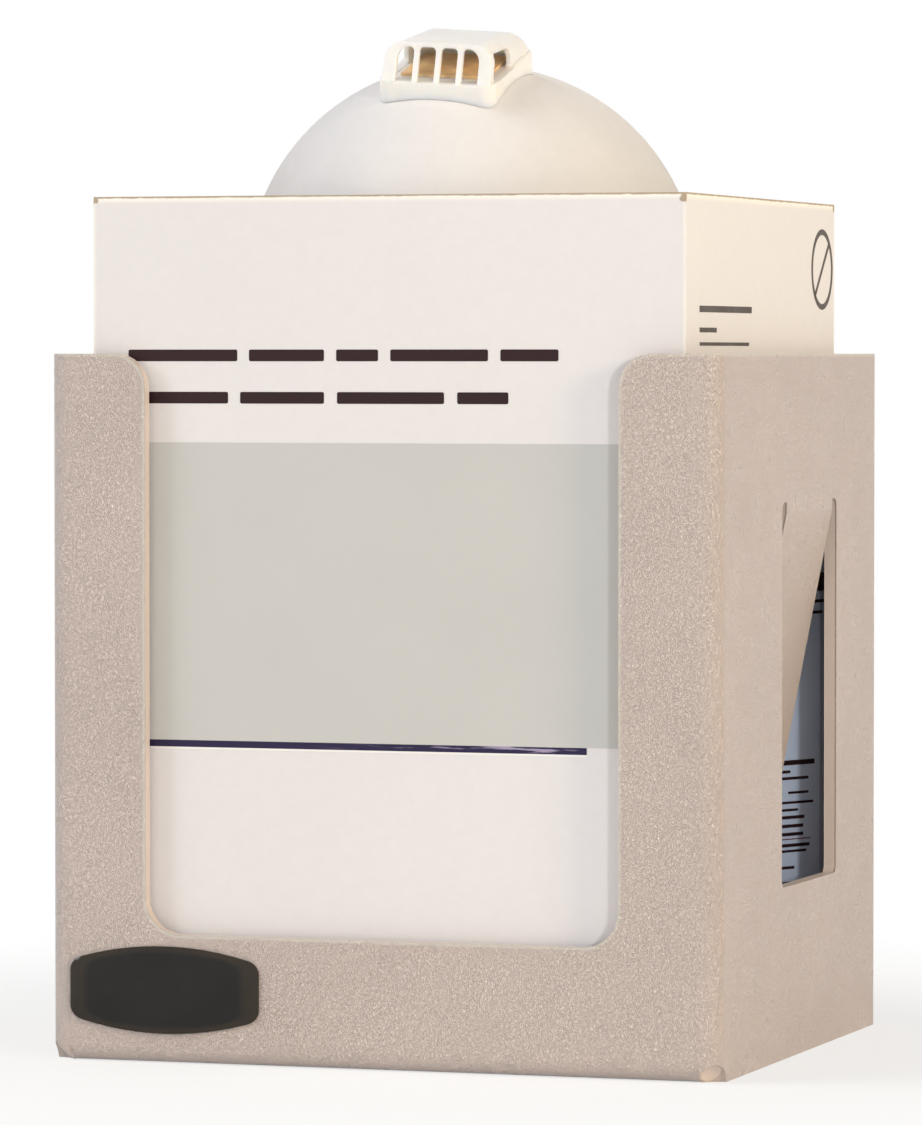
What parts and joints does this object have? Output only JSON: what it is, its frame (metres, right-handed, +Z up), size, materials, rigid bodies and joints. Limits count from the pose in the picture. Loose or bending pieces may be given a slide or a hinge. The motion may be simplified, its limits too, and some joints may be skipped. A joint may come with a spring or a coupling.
{
  "type": "face mask dispenser",
  "caption": "Folded plastic holder with an open front and sprung side tongues, holding an open carton of stacked valved cup masks.",
  "frame": {"origin": "middle of the whole part's footprint, on the surface that it stands on", "axes": "+X to the viewer's right, +Y to the wall behind the holder, +Z up"},
  "size_m": [0.163, 0.1414, 0.2421],
  "materials": {
    "holder_plastic": "textured",
    "badge_resin": "gloss",
    "carton_board": "coated white",
    "mask_fleece": "matt",
    "valve_plastic": "satin",
    "flap_rubber": "satin",
    "clip_metal": "satin",
    "strap_elastic": "woven"
  },
  "bodies": {
    "root": {"sheet_holder": "holder_plastic", "front_badge": "badge_resin", "carton": "carton_board", "mask_cup_01": "mask_fleece", "valve_cover_01": "valve_plastic", "valve_flap_01": "flap_rubber", "nose_clip_01": "clip_metal", "head_straps_01": "strap_elastic", "mask_cup_02": "mask_fleece", "valve_cover_02": "valve_plastic", "valve_flap_02": "flap_rubber", "nose_clip_02": "clip_metal", "head_straps_02": "strap_elastic", "mask_cup_03": "mask_fleece", "valve_cover_03": "valve_plastic", "valve_flap_03": "flap_rubber", "nose_clip_03": "clip_metal", "head_straps_03": "strap_elastic", "mask_cup_04": "mask_fleece", "valve_cover_04": "valve_plastic", "valve_flap_04": "flap_rubber", "nose_clip_04": "clip_metal", "head_straps_04": "strap_elastic", "mask_cup_05": "mask_fleece", "valve_cover_05": "valve_plastic", "valve_flap_05": "flap_rubber", "nose_clip_05": "clip_metal", "head_straps_05": "strap_elastic", "mask_cup_06": "mask_fleece", "valve_cover_06": "valve_plastic", "valve_flap_06": "flap_rubber", "nose_clip_06": "clip_metal", "head_straps_06": "strap_elastic", "mask_cup_07": "mask_fleece", "valve_cover_07": "valve_plastic", "valve_flap_07": "flap_rubber", "nose_clip_07": "clip_metal", "head_straps_07": "strap_elastic", "mask_cup_08": "mask_fleece", "valve_cover_08": "valve_plastic", "valve_flap_08": "flap_rubber", "nose_clip_08": "clip_metal", "head_straps_08": "strap_elastic", "mask_cup_09": "mask_fleece", "valve_cover_09": "valve_plastic", "valve_flap_09": "flap_rubber", "nose_clip_09": "clip_metal", "head_straps_09": "strap_elastic", "mask_cup_10": "mask_fleece", "valve_cover_10": "valve_plastic", "valve_flap_10": "flap_rubber", "nose_clip_10": "clip_metal", "head_straps_10": "strap_elastic"}
  },
  "joints": []
}
